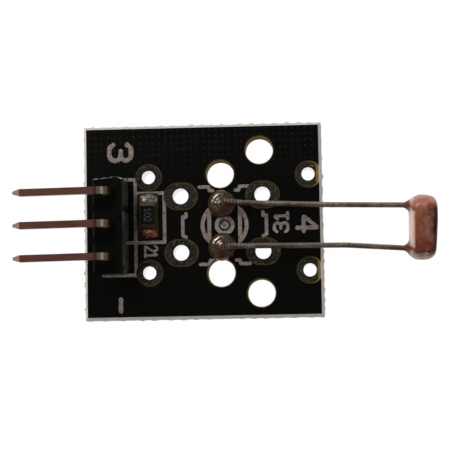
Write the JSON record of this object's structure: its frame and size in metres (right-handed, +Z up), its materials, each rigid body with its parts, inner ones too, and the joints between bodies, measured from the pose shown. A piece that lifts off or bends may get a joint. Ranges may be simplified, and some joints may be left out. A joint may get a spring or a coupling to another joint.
{
  "type": "light sensor module",
  "caption": "Small rectangular circuit board with an angled three-way pin header, a chip resistor and a light-dependent resistor reaching out on two bent leads.",
  "frame": {"origin": "middle of the whole module in X and Y, on the surface that its soldered tails stand on", "axes": "+Z up out of the component side of the board, +X towards the sensor head, +Y along the pin row"},
  "size_m": [0.0326, 0.0154, 0.0068],
  "materials": {
    "laminate": "bare glass-fibre laminate, satin on the faces and rough at the snapped rim",
    "solder_mask": "glossy black lacquer over a hatched copper pour",
    "tinned_copper": "tarnished tin plating, dull with fine scratches",
    "ink": "matt warm-white printed ink",
    "header_plastic": "black moulded plastic, slightly glossy",
    "pin_metal": "plated brass wire, satin",
    "solder": "bright soft solder with a wavy skin",
    "chip_ceramic": "white alumina",
    "chip_glaze": "black glass glaze",
    "lead_wire": "tinned steel wire, satin",
    "disc_ceramic": "pale ceramic disc",
    "track_film": "orange-red photosensitive film",
    "electrode_film": "thin matt metal film",
    "paste": "dull silvery conductive paste",
    "resin": "clear reddish-brown dipped resin, glossy"
  },
  "bodies": {
    "root": {"board_core": "laminate", "header_housing": "header_plastic", "header_pad_1": "tinned_copper", "header_pad_2": "tinned_copper", "header_pad_3": "tinned_copper", "header_pin_1": "pin_metal", "header_pin_2": "pin_metal", "header_pin_3": "pin_metal", "header_solder_1": "solder", "header_solder_2": "solder", "header_solder_3": "solder", "inner_pad_1": "tinned_copper", "inner_pad_2": "tinned_copper", "inner_pad_3": "tinned_copper", "inner_pad_4": "tinned_copper", "legend_header": "ink", "legend_resistor": "ink", "legend_switch": "ink", "legend_target": "ink", "outer_pad_1": "tinned_copper", "outer_pad_2": "tinned_copper", "outer_pad_3": "tinned_copper", "outer_pad_4": "tinned_copper", "resistor_body": "chip_ceramic", "resistor_cap_1": "solder", "resistor_cap_2": "solder", "resistor_glaze": "chip_glaze", "resistor_pad_1": "tinned_copper", "resistor_pad_2": "tinned_copper", "resistor_solder_1": "solder", "resistor_solder_2": "solder", "sensor_coat": "resin", "sensor_contact_1": "paste", "sensor_contact_2": "paste", "sensor_disc": "disc_ceramic", "sensor_electrode_1": "electrode_film", "sensor_electrode_2": "electrode_film", "sensor_lead_1": "lead_wire", "sensor_lead_2": "lead_wire", "sensor_pad_1": "tinned_copper", "sensor_pad_2": "tinned_copper", "sensor_solder_1": "solder", "sensor_solder_2": "solder", "sensor_track": "track_film", "solder_mask_bottom": "solder_mask", "solder_mask_top": "solder_mask"}
  },
  "joints": []
}
